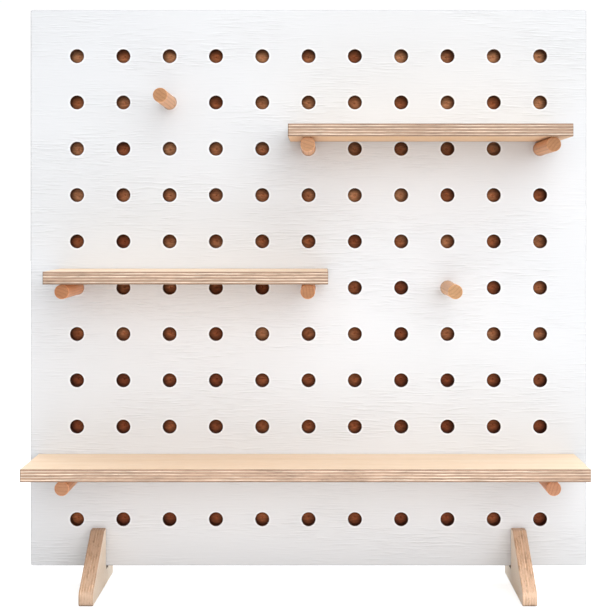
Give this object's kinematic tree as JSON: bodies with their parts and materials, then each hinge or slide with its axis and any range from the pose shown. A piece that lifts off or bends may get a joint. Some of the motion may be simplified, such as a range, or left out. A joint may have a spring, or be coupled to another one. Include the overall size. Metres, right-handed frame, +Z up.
{
  "type": "pegboard tool wall",
  "caption": "Free-standing square pegboard, white-painted plywood with blind peg holes, on two slotted wedge feet, with push-in wooden pegs carrying loose plywood shelves.",
  "frame": {"origin": "on the floor under the middle of the object's bounding box, midway between the feet", "axes": "+X to the right seen from the front, -Y out of the front towards the user, +Z up"},
  "size_m": [0.6, 0.1684, 0.6205],
  "materials": {
    "white_paint": "satin white paint over plywood, grain showing through, bare brown wood inside the holes",
    "dowel_wood": "sanded, unfinished beech-like hardwood",
    "shelf_ply": "sanded birch-like plywood with bare layered edges",
    "foot_ply": "sanded birch-like plywood with bare layered edges"
  },
  "bodies": {
    "feet": {"foot_left": "foot_ply", "foot_right": "foot_ply"},
    "board": {"board": "white_paint"},
    "peg_free_upper": {"peg_free_upper": "dowel_wood"},
    "peg_free_right": {"peg_free_right": "dowel_wood"},
    "peg_upper_shelf_left": {"peg_upper_shelf_left": "dowel_wood"},
    "peg_upper_shelf_right": {"peg_upper_shelf_right": "dowel_wood"},
    "peg_middle_shelf_left": {"peg_middle_shelf_left": "dowel_wood"},
    "peg_middle_shelf_right": {"peg_middle_shelf_right": "dowel_wood"},
    "peg_long_shelf_left": {"peg_long_shelf_left": "dowel_wood"},
    "peg_long_shelf_right": {"peg_long_shelf_right": "dowel_wood"},
    "shelf_upper_right": {"shelf_upper_right": "shelf_ply"},
    "shelf_middle_left": {"shelf_middle_left": "shelf_ply"},
    "shelf_long": {"shelf_long": "shelf_ply"}
  },
  "joints": [
    {"name": "board_lifts_from_feet", "type": "slide", "parent": "feet", "child": "board", "axis": [0, 0, 1], "range_m": [0, 0.05]},
    {"name": "peg_free_upper_pulls_out", "type": "slide", "parent": "board", "child": "peg_free_upper", "axis": [0, -1, 0], "range_m": [0, 0.02]},
    {"name": "peg_free_right_pulls_out", "type": "slide", "parent": "board", "child": "peg_free_right", "axis": [0, -1, 0], "range_m": [0, 0.02]},
    {"name": "peg_upper_shelf_left_pulls_out", "type": "slide", "parent": "board", "child": "peg_upper_shelf_left", "axis": [0, -1, 0], "range_m": [0, 0.02]},
    {"name": "peg_upper_shelf_right_pulls_out", "type": "slide", "parent": "board", "child": "peg_upper_shelf_right", "axis": [0, -1, 0], "range_m": [0, 0.02]},
    {"name": "peg_middle_shelf_left_pulls_out", "type": "slide", "parent": "board", "child": "peg_middle_shelf_left", "axis": [0, -1, 0], "range_m": [0, 0.02]},
    {"name": "peg_middle_shelf_right_pulls_out", "type": "slide", "parent": "board", "child": "peg_middle_shelf_right", "axis": [0, -1, 0], "range_m": [0, 0.02]},
    {"name": "peg_long_shelf_left_pulls_out", "type": "slide", "parent": "board", "child": "peg_long_shelf_left", "axis": [0, -1, 0], "range_m": [0, 0.02]},
    {"name": "peg_long_shelf_right_pulls_out", "type": "slide", "parent": "board", "child": "peg_long_shelf_right", "axis": [0, -1, 0], "range_m": [0, 0.02]},
    {"name": "shelf_upper_right_lifts_off", "type": "slide", "parent": "board", "child": "shelf_upper_right", "axis": [0, 0, 1], "range_m": [0, 0.04]},
    {"name": "shelf_middle_left_lifts_off", "type": "slide", "parent": "board", "child": "shelf_middle_left", "axis": [0, 0, 1], "range_m": [0, 0.04]},
    {"name": "shelf_long_lifts_off", "type": "slide", "parent": "board", "child": "shelf_long", "axis": [0, 0, 1], "range_m": [0, 0.04]}
  ]
}
